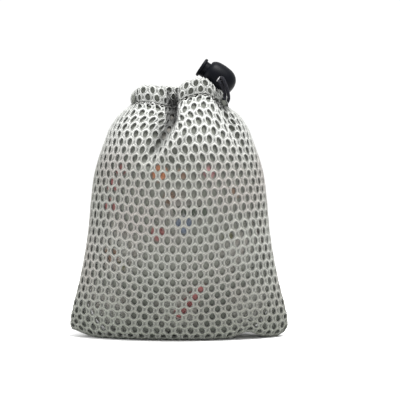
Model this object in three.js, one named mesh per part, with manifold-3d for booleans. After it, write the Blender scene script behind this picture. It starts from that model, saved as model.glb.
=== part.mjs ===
// Drawstring mesh bag that holds ten golf balls, with a spring cord lock on its drawcord.
// Millimetres, +Z up. Origin: middle of the resting face, on the floor. -Y is the front of the bag.
import * as THREE from 'three';
import { mergeVertices } from 'three/addons/utils/BufferGeometryUtils.js';
import Module from 'manifold-3d';

// ---------------------------------------------------------------- driving dimensions
const CLEARANCE = 0.3;            // gap between parts that touch
const CLOTH = 2.0;                // thickness of the spacer mesh
const BALL_DIAMETER = 42.67;
const CORD_DIAMETER = 2.4;
const THREAD_DIAMETER = 0.9;      // stitching under the tunnel

// Middle of one panel, from the bottom seam along the floor and up to the neck: [half depth, height]
const PANEL_PROFILE = [
  [0, 0], [10, 0], [20, 0], [26.6, 3.4], [30.6, 10.5], [34, 20], [37.4, 31], [40.3, 44], [42.8, 64],
  [43.5, 88], [42.6, 106], [39.4, 122], [34.4, 135], [27.4, 148], [19.4, 158], [13, 165],
];
// Side seam seen from the front: [height, half width]
const SIDE_OUTLINE = [
  [0, 79.5], [14, 78.7], [26, 76], [38, 72.7], [54, 69.2], [77, 65.5], [100, 63.3], [118, 60.8],
  [130, 57.5], [141, 53.5], [152, 49], [159, 44], [165, 38], [172, 35], [190, 34],
];
const EAR_LIFT = 6.5;             // how far the bottom corners stand off the floor
const EAR_START = 0.78;           // share of the half width where a corner starts to lift

// Drawcord tunnel: an oval ring in two halves, seen from above
const RING_CENTRE_X = -0.8;
const RING_HALF_WIDTH = 34.5;
const RING_HALF_DEPTH = 11.4;
const TUNNEL_RISE = 13;           // height of the folded hem, away from its ends
const TUNNEL_DEPTH = 5.8;
const TUNNEL_WALL = 1.2;
const TUNNEL_LEFT_ANGLE = 3;      // degrees round the ring from the left side seam
const TUNNEL_RIGHT_ANGLE = 160;   // the cord leaves here
const NECK_HEIGHT = 165.3;
const NECK_GAP = 1.2;             // under the tunnel, so that it can open over the sloping panel

// Cord lock
const LOCK_CENTRE = new THREE.Vector3(29.5, 7.5, 185.2);
const LOCK_TILT = 34;             // degrees that the button's travel points below +X
const LOCK_RADIUS = 10.4;
const LOCK_LENGTH = 23;
const BORE_RADIUS = 6.2;
const BORE_FLOOR = 9.2;           // from the body's middle to the bottom of the bore
const BUTTON_RADIUS = 7.1;
const BUTTON_STANDOUT = 5.4;
const BUTTON_TRAVEL = 2.8;
const PLUNGER_RADIUS = 5.8;
const PLUNGER_END = 4.6;
const HOLE_WIDTH = 6.0;           // across the two strands
const HOLE_LENGTH = 3.2;          // along the button's travel
const STRAND_OFFSET = 1.45;       // each strand's distance from the hole's middle

const COLOURS = { cloth: 0xc9cac4, cord: 0x1b1b1d, lock: 0x17171a, steel: 0x9a9da1, ball: 0xe8e8e4 };

// ---------------------------------------------------------------- helpers
const wasm = await Module();
wasm.setup();

function prepared(geometry) {
  const bare = geometry.clone();
  bare.deleteAttribute('normal');
  bare.deleteAttribute('uv');
  return mergeVertices(bare, 1e-4);
}

function solid(geometry) {
  const merged = prepared(geometry);
  return new wasm.Manifold(new wasm.Mesh({
    numProp: 3,
    vertProperties: new Float32Array(merged.attributes.position.array),
    triVerts: new Uint32Array(merged.index.array),
  }));
}

function geometryOf(manifold) {
  const mesh = manifold.getMesh();
  const geometry = new THREE.BufferGeometry();
  geometry.setAttribute('position', new THREE.BufferAttribute(new Float32Array(mesh.vertProperties), 3));
  geometry.setIndex(new THREE.BufferAttribute(new Uint32Array(mesh.triVerts), 1));
  return geometry;
}

function smoothstep(low, high, value) {
  return THREE.MathUtils.smoothstep(value, low, high);
}

function bell(x, centre, width) {
  return Math.exp(-(((x - centre) / width) ** 2));
}

function curveThrough(points) {
  return new THREE.CatmullRomCurve3(points.map((p) => new THREE.Vector3(...p)), false, 'centripetal');
}

// Value of a smooth table [input, output] at one input
function lookup(table, input) {
  const last = table.length - 1;
  const x = THREE.MathUtils.clamp(input, table[0][0], table[last][0]);
  let i = 0;
  while (i < last - 1 && x > table[i + 1][0]) i += 1;
  const at = (k) => table[THREE.MathUtils.clamp(k, 0, last)];
  const slope = (k) => {
    const a = at(k - 1);
    const b = at(k + 1);
    return (b[1] - a[1]) / (b[0] - a[0]);
  };
  const [x0, y0] = at(i);
  const [x1, y1] = at(i + 1);
  const h = x1 - x0;
  const t = (x - x0) / h;
  const t2 = t * t;
  const t3 = t2 * t;
  return (2 * t3 - 3 * t2 + 1) * y0 + (t3 - 2 * t2 + t) * h * slope(i)
    + (3 * t2 - 2 * t3) * y1 + (t3 - t2) * h * slope(i + 1);
}

// Closed surface from rings of equal point count; `closed` joins the last ring to the first
function loft(rings, closed) {
  const count = rings[0].length;
  const positions = rings.flat().flatMap((p) => [p.x, p.y, p.z]);
  const indices = [];
  const quad = (a, b, c, d) => indices.push(a, b, c, a, c, d);
  const spans = closed ? rings.length : rings.length - 1;
  for (let i = 0; i < spans; i += 1) {
    const next = ((i + 1) % rings.length) * count;
    for (let j = 0; j < count; j += 1) {
      const k = (j + 1) % count;
      quad(i * count + j, i * count + k, next + k, next + j);
    }
  }
  if (!closed) {
    // Each end is a ladder between the ring's first half and its second half
    const end = (rings.length - 1) * count;
    for (let j = 0; j < count / 2 - 1; j += 1) {
      const [a, b, c, d] = [j, j + 1, count - 2 - j, count - 1 - j];
      quad(d, c, b, a);
      quad(end + a, end + b, end + c, end + d);
    }
  }
  const geometry = new THREE.BufferGeometry();
  geometry.setAttribute('position', new THREE.Float32BufferAttribute(positions, 3));
  geometry.setIndex(indices);
  return outward(geometry);
}

// Turns a closed surface's faces outwards
function outward(geometry) {
  const p = geometry.attributes.position;
  const index = geometry.index.array;
  const [a, b, c] = [new THREE.Vector3(), new THREE.Vector3(), new THREE.Vector3()];
  let volume = 0;
  for (let i = 0; i < index.length; i += 3) {
    a.fromBufferAttribute(p, index[i]);
    b.fromBufferAttribute(p, index[i + 1]);
    c.fromBufferAttribute(p, index[i + 2]);
    volume += a.dot(b.cross(c));
  }
  if (volume < 0) {
    for (let i = 0; i < index.length; i += 3) {
      [index[i + 1], index[i + 2]] = [index[i + 2], index[i + 1]];
    }
  }
  return geometry;
}

// Round tube along a curve
function tube(curve, diameter, steps, sides) {
  const section = new THREE.Shape(Array.from({ length: sides }, (_, i) => {
    const angle = (2 * Math.PI * i) / sides;
    return new THREE.Vector2(Math.cos(angle), Math.sin(angle)).multiplyScalar(diameter / 2);
  }));
  return new THREE.ExtrudeGeometry(section, { steps, bevelEnabled: false, extrudePath: curve });
}

const bag = new THREE.Group();

function add(name, geometry, material, parent = bag) {
  const looks = {
    cloth: { color: COLOURS.cloth, roughness: 0.9, metalness: 0 },
    cord: { color: COLOURS.cord, roughness: 0.85, metalness: 0 },
    lock: { color: COLOURS.lock, roughness: 0.4, metalness: 0 },
    steel: { color: COLOURS.steel, roughness: 0.3, metalness: 1 },
    ball: { color: COLOURS.ball, roughness: 0.35, metalness: 0 },
  };
  const mesh = new THREE.Mesh(geometry, new THREE.MeshStandardMaterial(looks[material]));
  mesh.name = name;
  parent.add(mesh);
  return mesh;
}

// ---------------------------------------------------------------- mesh panels
const panelProfile = curveThrough(PANEL_PROFILE.map(([depth, height]) => [depth, 0, height]));

// Lower edge of the drawcord tunnel, and how high it stands: two lobes with a deep pleat between them
function tunnelBase(side, x) {
  const neck = NECK_HEIGHT + 2.2 * (1 - (x / 36) ** 2);
  return side === 'front' ? neck + bell(x, -24, 10) + 7.4 * bell(x, 16, 10) : neck + 1.5 * bell(x, 4, 12);
}

function tunnelRise(side, x) {
  const ends = 1 - 0.42 * Math.abs((x - RING_CENTRE_X) / RING_HALF_WIDTH) ** 6;
  if (side === 'front') return TUNNEL_RISE * ends + 1.5 * bell(x, -24, 9) - 2 * bell(x, -5, 5);
  return (TUNNEL_RISE - 1) * ends + 1.5 * bell(x, -16, 10) - 2.5 * bell(x, 26, 10);
}

// Outer face of a panel. across: -1 left seam to 1 right seam. up: 0 bottom seam to 1 neck
function panelPoint(side, across, up) {
  const middle = panelProfile.getPoint(up);
  const depth = Math.max(0, middle.x);
  const corner = THREE.MathUtils.clamp((Math.abs(across) - EAR_START) / (1 - EAR_START), 0, 1) ** 2;
  const fade = 1 - smoothstep(20, 110, middle.z);
  const base = Math.max(0, middle.z) + corner * (EAR_LIFT + 0.1 * depth) * fade;
  let z = base;
  for (let pass = 0; pass < 3; pass += 1) {
    const neck = tunnelBase(side, across * lookup(SIDE_OUTLINE, z)) - NECK_GAP;
    z = base + (neck - PANEL_PROFILE.at(-1)[1]) * smoothstep(0.72, 1, up);
  }
  const roundness = 0.5 + 0.35 * Math.exp(-z / 20);
  const y = depth * (1 - across * across) ** roundness;
  const sign = side === 'front' ? -1 : 1;
  return new THREE.Vector3(across * lookup(SIDE_OUTLINE, z), sign * (y + CLEARANCE / 2), z);
}

function panelNormal(side, across, up) {
  const step = 1e-3;
  const limit = (value) => THREE.MathUtils.clamp(value, -1 + step, 1 - step);
  const s = limit(across);
  const t = THREE.MathUtils.clamp(up, step, 1 - step);
  const alongS = panelPoint(side, s + step, t).sub(panelPoint(side, s - step, t));
  const alongT = panelPoint(side, s, t + step).sub(panelPoint(side, s, t - step));
  const normal = alongS.cross(alongT).normalize();
  return side === 'front' ? normal : normal.negate();
}

function panel(side) {
  const columns = 22;
  const rows = 18;
  const sign = side === 'front' ? -1 : 1;
  const rings = [];
  for (let j = 0; j <= rows; j += 1) {
    const up = j / rows;
    const outer = [];
    const inner = [];
    for (let i = 0; i <= columns; i += 1) {
      const across = -Math.cos((Math.PI * i) / columns);
      const point = panelPoint(side, across, up);
      const inside = point.clone().addScaledVector(panelNormal(side, across, up), -CLOTH);
      inside.y = sign * Math.max(sign * inside.y, CLEARANCE / 2);
      if (j === 0) inside.set(point.x * 0.97, point.y, point.z + CLOTH);
      if (j === rows) inside.z = point.z;
      if (i === 0 || i === columns) inside.set(point.x - Math.sign(across) * CLOTH, point.y, inside.z);
      outer.push(point);
      inner.unshift(inside);
    }
    rings.push([...outer, ...inner]);
  }
  return loft(rings, false);
}

add('front_panel', panel('front'), 'cloth');
add('back_panel', panel('back'), 'cloth');

// ---------------------------------------------------------------- seam allowances inside the bag
const SEAM_WIDTH = 3.2;
const SEAM_THICKNESS = 1.2;
const SIDE_SEAM_START = 14;        // heights between which the side seams' allowances run
const SIDE_SEAM_END = 148;
const SIDE_SEAM_STEPS = 12;
const BOTTOM_SEAM_LENGTH = 104;
const BOTTOM_SEAM_THICKNESS = 0.7; // pressed flat under the balls

function seamStrip(points, inwards) {
  const rings = points.map((p) => {
    const near = p.clone();
    const far = p.clone().addScaledVector(inwards, SEAM_WIDTH);
    return [[near, -1], [far, -1], [far, 1], [near, 1]].map(([q, s]) => (
      new THREE.Vector3(q.x, s * SEAM_THICKNESS / 2, q.z)));
  });
  return loft(rings, false);
}

for (const [name, direction] of [['left', -1], ['right', 1]]) {
  const points = Array.from({ length: SIDE_SEAM_STEPS + 1 }, (_, i) => {
    const z = THREE.MathUtils.lerp(SIDE_SEAM_START, SIDE_SEAM_END, i / SIDE_SEAM_STEPS);
    const inset = CLOTH + CLEARANCE + 0.5;
    return new THREE.Vector3(direction * (lookup(SIDE_OUTLINE, z) - inset), 0, z);
  });
  add(`side_seam_${name}`, seamStrip(points, new THREE.Vector3(-direction, 0, 0)), 'cloth');
}
const bottomStrip = new THREE.BoxGeometry(BOTTOM_SEAM_LENGTH, SEAM_WIDTH, BOTTOM_SEAM_THICKNESS);
bottomStrip.translate(0, 0, CLOTH + CLEARANCE + BOTTOM_SEAM_THICKNESS / 2);
add('bottom_seam', bottomStrip, 'cloth');

// ---------------------------------------------------------------- drawcord tunnel and its stitching
// Point beside the tunnel's middle line. outwards is in mm, level goes from -1 at its base to 1 at its top
function ringPoint(side, degrees, outwards = 0, level = 0, inset = 0) {
  const angle = THREE.MathUtils.degToRad(degrees);
  const sign = side === 'front' ? -1 : 1;
  const at = (a) => {
    const x = RING_CENTRE_X - RING_HALF_WIDTH * Math.cos(a);
    const pleat = side === 'front' ? 3.5 * bell(x, -5, 4) : 0;
    return new THREE.Vector2(x, sign * (RING_HALF_DEPTH * Math.sin(a) ** 0.75 - pleat));
  };
  const here = at(angle);
  const along = at(angle + 0.01).sub(at(angle - 0.01)).normalize();
  const normal = new THREE.Vector2(along.y, -along.x).multiplyScalar(-sign);
  const halfRise = tunnelRise(side, here.x) / 2;
  const z = tunnelBase(side, here.x) + halfRise + (halfRise - inset) * level;
  here.addScaledVector(normal, outwards);
  return new THREE.Vector3(here.x, here.y, z);
}

const TUNNEL_STEPS = 22;
const TUNNEL_SIDES = 10;

function tunnelAngles(start, end) {
  return Array.from({ length: TUNNEL_STEPS + 1 }, (_, i) => start + ((end - start) * i) / TUNNEL_STEPS);
}

function tunnel(side) {
  const oval = (degrees, inset) => Array.from({ length: TUNNEL_SIDES }, (_, i) => {
    const angle = (2 * Math.PI * (i + 0.5)) / TUNNEL_SIDES;
    const outwards = (TUNNEL_DEPTH / 2 - inset) * Math.cos(angle);
    return ringPoint(side, degrees, outwards, Math.sin(angle), inset);
  });
  const angles = tunnelAngles(TUNNEL_LEFT_ANGLE, TUNNEL_RIGHT_ANGLE);
  const outer = angles.map((a) => oval(a, 0));
  const inner = angles.map((a) => oval(a, TUNNEL_WALL));
  return loft([...outer, ...inner.reverse()], true);
}

function stitching(side) {
  const offset = (TUNNEL_DEPTH + THREAD_DIAMETER) / 2 + CLEARANCE;
  const points = tunnelAngles(TUNNEL_LEFT_ANGLE + 9, TUNNEL_RIGHT_ANGLE - 6)
    .map((a) => ringPoint(side, a, offset, -0.75));
  return tube(new THREE.CatmullRomCurve3(points), THREAD_DIAMETER, 28, 6);
}

function drawcord(side) {
  const points = tunnelAngles(TUNNEL_LEFT_ANGLE, TUNNEL_RIGHT_ANGLE).map((a) => ringPoint(side, a));
  return tube(new THREE.CatmullRomCurve3(points), CORD_DIAMETER, 24, 8);
}

for (const side of ['front', 'back']) {
  add(`tunnel_${side}`, tunnel(side), 'cloth');
  add(`stitching_${side}`, stitching(side), 'cloth');
  add(`drawcord_${side}`, drawcord(side), 'cord');
}

// ---------------------------------------------------------------- cord lock
// Built along its own X axis, which is the button's travel, then tilted into place
const lock = new THREE.Group();
lock.position.copy(LOCK_CENTRE);
lock.rotation.y = THREE.MathUtils.degToRad(LOCK_TILT);
bag.add(lock);

function turned(profile, segments = 24) {
  const points = profile.map(([x, radius]) => new THREE.Vector2(radius, x));
  return new THREE.LatheGeometry(points, segments).rotateZ(-Math.PI / 2);
}

function slot(length, width, middle) {
  return new THREE.BoxGeometry(length, 30, width).translate(middle, 0, 0);
}

// Body: nearly a ball, blunt at the button's end, with a blind bore for the plunger
const bodyBack = -LOCK_LENGTH / 2;
const bodyFront = LOCK_LENGTH / 2;
const bodyProfile = [
  [BORE_FLOOR, 0], [BORE_FLOOR, BORE_RADIUS], [bodyBack, BORE_RADIUS], [bodyBack, BORE_RADIUS + 0.9],
  [bodyBack + 1, 8.5], [bodyBack + 3, 9.7], [-5, LOCK_RADIUS], [0.5, LOCK_RADIUS],
  [4.8, 9.7], [8, 8], [10, 5.8], [11.1, 3.2], [bodyFront, 0],
];
const bodySolid = solid(turned(bodyProfile)).subtract(solid(slot(HOLE_LENGTH, HOLE_WIDTH, 0)));
add('lock_body', geometryOf(bodySolid), 'lock', lock);

// Button: a cap with a finger dish and a plunger, with a long slot so that the strands stay put
const capBack = bodyBack - BUTTON_STANDOUT;
const buttonProfile = [
  [capBack + 0.5, 0], [capBack, 4.4], [capBack, BUTTON_RADIUS - 0.6], [capBack + 0.6, BUTTON_RADIUS],
  [bodyBack - BUTTON_TRAVEL - CLEARANCE, BUTTON_RADIUS - 0.2],
  [bodyBack - BUTTON_TRAVEL - CLEARANCE, PLUNGER_RADIUS], [PLUNGER_END, PLUNGER_RADIUS],
  [PLUNGER_END, 0],
];
const plungerSlot = slot(HOLE_LENGTH + BUTTON_TRAVEL, HOLE_WIDTH, -BUTTON_TRAVEL / 2);
add('lock_button', geometryOf(solid(turned(buttonProfile)).subtract(solid(plungerSlot))), 'lock', lock);

// Spring between the plunger and the bottom of the bore
const SPRING_TURNS = 3;
const SPRING_RADIUS = 4.6;
const WIRE_DIAMETER = 0.7;
const TURN_STEPS = 10;
const springLength = BORE_FLOOR - PLUNGER_END - 2 * CLEARANCE - WIRE_DIAMETER;
const springPoints = Array.from({ length: SPRING_TURNS * TURN_STEPS + 1 }, (_, i) => {
  const angle = (2 * Math.PI * i) / TURN_STEPS;
  const start = PLUNGER_END + CLEARANCE + WIRE_DIAMETER / 2;
  const along = start + (springLength * i) / (SPRING_TURNS * TURN_STEPS);
  return new THREE.Vector3(along, SPRING_RADIUS * Math.cos(angle), SPRING_RADIUS * Math.sin(angle));
});
const springCurve = new THREE.CatmullRomCurve3(springPoints);
add('lock_spring', tube(springCurve, WIRE_DIAMETER, 34, 6), 'steel', lock);

// ---------------------------------------------------------------- free ends of the drawcord
// Each strand leaves its tunnel, crosses in front of the lock, runs through the hole and down the back
const tilt = THREE.MathUtils.degToRad(LOCK_TILT);
const acrossHole = new THREE.Vector3(-Math.sin(tilt), 0, -Math.cos(tilt));

function strandPoint(strand, y) {
  const offset = strand === 'front' ? STRAND_OFFSET : -STRAND_OFFSET;
  const p = LOCK_CENTRE.clone().addScaledVector(acrossHole, offset);
  return [p.x, y, p.z];
}

const holeEntry = LOCK_CENTRE.y - LOCK_RADIUS - 0.6;
const LEAD_ROUTES = {
  front: [[32.8, -2.8, 171.5], [32.9, -2.4, 173.8], [32.5, -3.7, 176.3], [31.2, -6.1, 179.5],
    [29.6, -7, 182.5]],
  back: [[33.5, 2.4, 168.6], [34.9, -0.5, 169.3], [35.6, -4, 171.8], [35, -6.8, 176], [33.5, -8.4, 181],
    [31.6, -8.2, 185.2]],
};
const TAIL_ROUTES = {
  front: [[28.5, 22.5, 183.4], [28.4, 26.4, 180], [28.2, 27.9, 174], [28, 28.2, 164], [27.6, 28.6, 154],
    [27.2, 31, 143], [26.8, 34.6, 132], [26.4, 37.9, 121], [26.2, 40.4, 110], [26.1, 41.2, 106]],
  back: [[30.2, 23.5, 185.8], [30.7, 28.4, 182], [31.1, 30.4, 175], [31.1, 30.6, 165],
    [30.8, 30.4, 154], [30.3, 31.6, 143], [29.8, 34.8, 132], [29.2, 37.7, 121], [28.8, 40.2, 110],
    [28.7, 41, 106]],
};

for (const strand of ['front', 'back']) {
  const exit = ringPoint(strand, TUNNEL_RIGHT_ANGLE + 3.5);
  const entry = [strandPoint(strand, holeEntry - 1.4), strandPoint(strand, holeEntry)];
  const lead = curveThrough([exit.toArray(), ...LEAD_ROUTES[strand], ...entry]);
  add(`lead_${strand}`, tube(lead, CORD_DIAMETER, 12, 8), 'cord');
  const start = [holeEntry + CLEARANCE, LOCK_CENTRE.y, LOCK_CENTRE.y + LOCK_RADIUS + 1];
  const tail = curveThrough([...start.map((y) => strandPoint(strand, y)), ...TAIL_ROUTES[strand]]);
  add(`tail_${strand}`, tube(tail, CORD_DIAMETER, 34, 8), 'cord');
}

// End knot that keeps the lock on the cord
const knotProfile = [[-3.8, 0], [-3.6, 1.6], [-2.2, 2.9], [0, 3.3], [2.2, 2.9], [3.6, 1.6], [3.8, 0]];
const knot = new THREE.LatheGeometry(knotProfile.map(([z, r]) => new THREE.Vector2(r, z)), 14);
add('end_knot', knot.rotateX(Math.PI / 2 + 0.1).translate(27.3, 42.8, 101.6), 'cord');

// ---------------------------------------------------------------- balls
// Packed three abreast, the middle column zigzagging against the outer two, with one ball on top
const OUTER_COLUMN = [[42.4, 0.5, 25], [36.5, -8, 66.8], [35.5, 5.5, 107.8]];
const MIDDLE_COLUMN = [[0, -8, 25], [0, 16, 60.5], [0, -16, 89.8], [0, 5.5, 132.4]];
const balls = [
  ...OUTER_COLUMN.flatMap(([x, y, z]) => [[-x, y, z], [x, y, z]]),
  ...MIDDLE_COLUMN,
].sort((p, q) => p[2] - q[2] || p[0] - q[0]);

balls.forEach(([x, y, z], i) => {
  const ball = new THREE.IcosahedronGeometry(BALL_DIAMETER / 2, 3);
  add(`golf_ball_${String(i + 1).padStart(2, '0')}`, prepared(ball), 'ball').position.set(x, y, z);
});

export default bag;
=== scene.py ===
"""Looks of the mesh ball bag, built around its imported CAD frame.

Shapes are worked out in millimetres and put into meshes in metres. The frame has +Z up, -Y is the front of
the bag and the bag rests on z = 0.
"""
import math

import bmesh
import bpy
import numpy as np
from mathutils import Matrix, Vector


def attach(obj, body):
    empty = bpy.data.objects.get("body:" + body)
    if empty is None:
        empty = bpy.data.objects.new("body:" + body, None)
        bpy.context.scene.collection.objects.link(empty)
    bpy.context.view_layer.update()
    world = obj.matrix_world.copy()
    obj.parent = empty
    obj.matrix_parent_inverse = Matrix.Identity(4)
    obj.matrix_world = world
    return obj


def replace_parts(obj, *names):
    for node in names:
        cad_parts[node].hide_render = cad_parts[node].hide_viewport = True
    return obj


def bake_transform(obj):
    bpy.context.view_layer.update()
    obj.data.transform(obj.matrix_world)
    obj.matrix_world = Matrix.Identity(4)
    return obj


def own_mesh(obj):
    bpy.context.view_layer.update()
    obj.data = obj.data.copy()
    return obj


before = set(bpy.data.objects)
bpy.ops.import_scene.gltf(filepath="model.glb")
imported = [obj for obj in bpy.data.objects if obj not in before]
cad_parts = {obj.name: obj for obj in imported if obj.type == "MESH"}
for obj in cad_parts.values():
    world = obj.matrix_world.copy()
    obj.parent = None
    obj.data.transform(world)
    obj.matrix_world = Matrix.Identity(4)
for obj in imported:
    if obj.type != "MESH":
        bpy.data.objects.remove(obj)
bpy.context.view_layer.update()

MM = 0.001

# ------------------------ driving dimensions, in mm
CORD_DIAMETER = 2.4
BALL_RADIUS = 42.67 / 2
CLOTH_WIDTH = 160.0          # of one panel, seam to seam
CLOTH_LENGTH = 205.0         # of one panel, bottom seam to the hem's stitching
THICKNESS = 1.8              # of the outer face of the spacer mesh, at the crests of its yarn

# The mesh's lattice: every second row is offset by half a column
COLUMNS = 22
ROWS = 34
HEM_ROWS = 6
PITCH = CLOTH_WIDTH / COLUMNS
ROW_PITCH = CLOTH_LENGTH / ROWS
HOLE_WIDTH = 3.75
HOLE_HEIGHT = 5.8
EDGE_STEPS = 3               # points along each side of a hexagonal cell

# Middle of one panel, from the bottom seam along the floor and up to the neck: [half depth, height]
PANEL_PROFILE = [
    [0, 0], [10, 0], [20, 0], [26.6, 3.4], [30.6, 10.5], [34, 20], [37.4, 31], [40.3, 44], [42.8, 64],
    [43.5, 88], [42.6, 106], [39.4, 122], [34.4, 135], [27.4, 148], [19.4, 158], [13, 165],
]
# Side seam seen from the front: [height, half width]
SIDE_OUTLINE = [
    [0, 72], [3.5, 76.6], [7.5, 78.9], [14, 78.7], [26, 76], [38, 72.7], [54, 69.2], [77, 65.5],
    [100, 63.3], [118, 60.8], [130, 57.5], [141, 53.5], [152, 49], [159, 44], [165, 38], [172, 35], [190, 34],
]
# Lower and upper edge of the folded hem, seen from the front: [x, height]
HEM_BASE = {
    "front": [[-38, 167.5], [-28, 168.4], [-18, 167.6], [-10, 165.8], [-4, 165.5], [1, 169.3], [10, 172.9],
              [18, 174.2], [24.5, 172.4], [29, 169], [36, 166]],
    "back": [[-38, 167], [-20, 168.5], [4, 169.5], [24, 168], [36, 166]],
}
HEM_TOP = {
    "front": [[-38, 172], [-36, 174], [-31, 178.7], [-25, 181.7], [-16, 181.2], [-9, 179], [-4, 176.5],
              [0, 181], [5, 184.4], [10, 186], [16.5, 187], [22, 185], [27, 180.4], [32, 175.6], [36, 171.4]],
    "back": [[-38, 172], [-31, 177.5], [-16, 181], [4, 180.5], [18, 181], [26, 178], [32, 174], [36, 170]],
}
HEM_DEPTH = 6.0

# Balls: their middles, their dimples and their prints
OUTER_COLUMN = [[42.4, 0.5, 25], [36.5, -8, 66.8], [35.5, 5.5, 107.8]]
MIDDLE_COLUMN = [[0, -8, 25], [0, 16, 60.5], [0, -16, 89.8], [0, 5.5, 132.4]]
BALLS = sorted(
    [[side * x, y, z] for x, y, z in OUTER_COLUMN for side in (-1, 1)] + MIDDLE_COLUMN,
    key=lambda ball: (ball[2], ball[0]),
)
DIMPLES = 336
DIMPLE_ANGLE = 0.085
DIMPLE_DEPTH = 0.28

# Colours of the balls' prints
INKS = {
    "red": (0.30, 0.035, 0.045), "orange": (0.62, 0.19, 0.06), "green": (0.05, 0.08, 0.05),
    "blue": (0.22, 0.28, 0.4), "brown": (0.26, 0.14, 0.09), "olive": (0.15, 0.145, 0.06),
    "pink": (0.5, 0.17, 0.19),
}
# Prints that face the front, by ball number: [x, z] from the ball's middle, radius, ink
MARKS = {
    2: [([1, -4], 4.5, "red"), ([7, 2], 5, "red"), ([12, 8], 5, "red"), ([16, 14], 4, "red")],
    5: [([-11, -6], 6, "brown"), ([-4, -13], 4, "olive")],
    6: [([-2, 8], 4, "olive")],
    7: [([0, 3], 4, "green"), ([8, 3], 4.5, "green"), ([16, 3], 4.5, "green"), ([4, -7], 6.5, "blue"),
        ([-14, -12], 5.5, "red"), ([-6, 12], 5, "brown")],
    8: [([-5, 13], 4, "red"), ([-11, 3], 5, "red"), ([-13, -12], 5, "red")],
    9: [([-14, 12], 4.5, "pink"), ([4, -3], 4, "brown")],
    10: [([-13, -13], 6, "orange"), ([3, -14], 4.5, "brown")],
}

# Cord lock, with distances along the button's travel measured from the lock's middle
LOCK_CENTRE = np.array([29.5, 7.5, 185.2])
LOCK_TILT = 34               # degrees that the button's travel points below +X
LOCK_RADIUS = 10.4
BORE_RADIUS = 6.2
BORE_FLOOR = 9.2
BODY_BACK = -11.5
BUTTON_RADIUS = 7.1
BUTTON_BACK = -16.9
BUTTON_FACE = -14.6          # underside of the button's cap
BUTTON_TRAVEL = 2.8
PLUNGER_RADIUS = 5.8
PLUNGER_END = 4.6
SLOT_WIDTH = 3.2
SLOT_LENGTH = 6.0
SLOT_CUT_DEPTH = 16          # of the cutter to each side, past the lock's surface
SPRING_TURNS = 3.0
SPRING_RADIUS = 4.6
SPRING_WIRE = 0.7
SPRING_GAP = 0.3             # to the plunger and to the bore's floor
SHARP_EDGE = 38              # degrees
TURN_STEPS = 96

# Cords: where the two strands go through the lock, and their routes on both sides of it
STRAND_OFFSET = 1.45
HOLE_ENTRY = LOCK_CENTRE[1] - LOCK_RADIUS - 0.6
HOLE_EXIT = LOCK_CENTRE[1] + LOCK_RADIUS + 1
CORD_SIDES = 20
LEAD_ROUTES = {
    "front": [[32.1, -4.4, 170.6], [32.8, -2.8, 171.5], [32.9, -2.4, 173.8], [32.5, -3.7, 176.3],
              [31.2, -6.1, 179.5], [29.6, -7, 182.5]],
    "back": [[32.1, 4.6, 168.6], [33.5, 2.4, 168.6], [34.9, -0.5, 169.3], [35.6, -4, 171.8], [35, -6.8, 176],
             [33.5, -8.4, 181], [31.6, -8.2, 185.2]],
}
TAIL_ROUTES = {
    "front": [[28.5, 22.5, 183.4], [28.4, 26.4, 180], [28.2, 27.9, 174], [28, 28.2, 164], [27.6, 28.6, 154],
              [27.2, 31, 143], [26.8, 34.6, 132], [26.4, 37.9, 121], [26.2, 40.4, 110], [26.1, 41.2, 106]],
    "back": [[30.2, 23.5, 185.8], [30.7, 28.4, 182], [31.1, 30.4, 175], [31.1, 30.6, 165], [30.8, 30.4, 154],
             [30.3, 31.6, 143], [29.8, 34.8, 132], [29.2, 37.7, 121], [28.8, 40.2, 110], [28.7, 41, 106]],
}
KNOT_CENTRE = np.array([27.3, 42.8, 101.6])
KNOT_SCALE = np.array([0.85, 0.9, 0.85])
KNOT_CORD_DIAMETER = 2.2

# Grid that a panel's surface is worked out on
SURFACE_ROWS = 160
SURFACE_COLUMNS = 260
HEM_STEPS = 48               # points round the folded hem
ACROSS = np.sin(np.linspace(-math.pi / 2, math.pi / 2, 421))

# How much further the rows stand at the side seams than in the middle, by the middle's height
SIDE_LIFT = [[0, 0], [8, 1], [19, 2.6], [34, 4.2], [55, 5.4], [75, 4.8], [95, 3.4], [120, 1], [165, 0]]
# How the rows are spread: share of the rows, and the share of the cloth's length that they take up
ROW_SPREAD = [[0, 0], [0.132, 0.134], [0.397, 0.373], [0.75, 0.751], [1, 1]]
FOLD_SHARE = 0.65            # of the cloth on a crease's walls is real cloth, and the rest is stretch
LOOK_THROUGH = 8             # how far behind the fine net a ball still shows
PLEAT_REACH = 8              # how far the front's middle pleat goes past the bag's middle plane
PANEL_GAP = 0.15             # of each panel's outer face from the bag's middle plane, at the side seams
SAG_DEPTH = 2.0              # of the cloth between the balls
TUCK_DEPTH = 2.0             # of the cloth at the hem's stitching
FREE_ABOVE = 120             # height above which a panel may pass the middle plane
HEM_CLOSING = 0.6            # share of the hem's section that is lost where its ends are sewn shut

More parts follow.
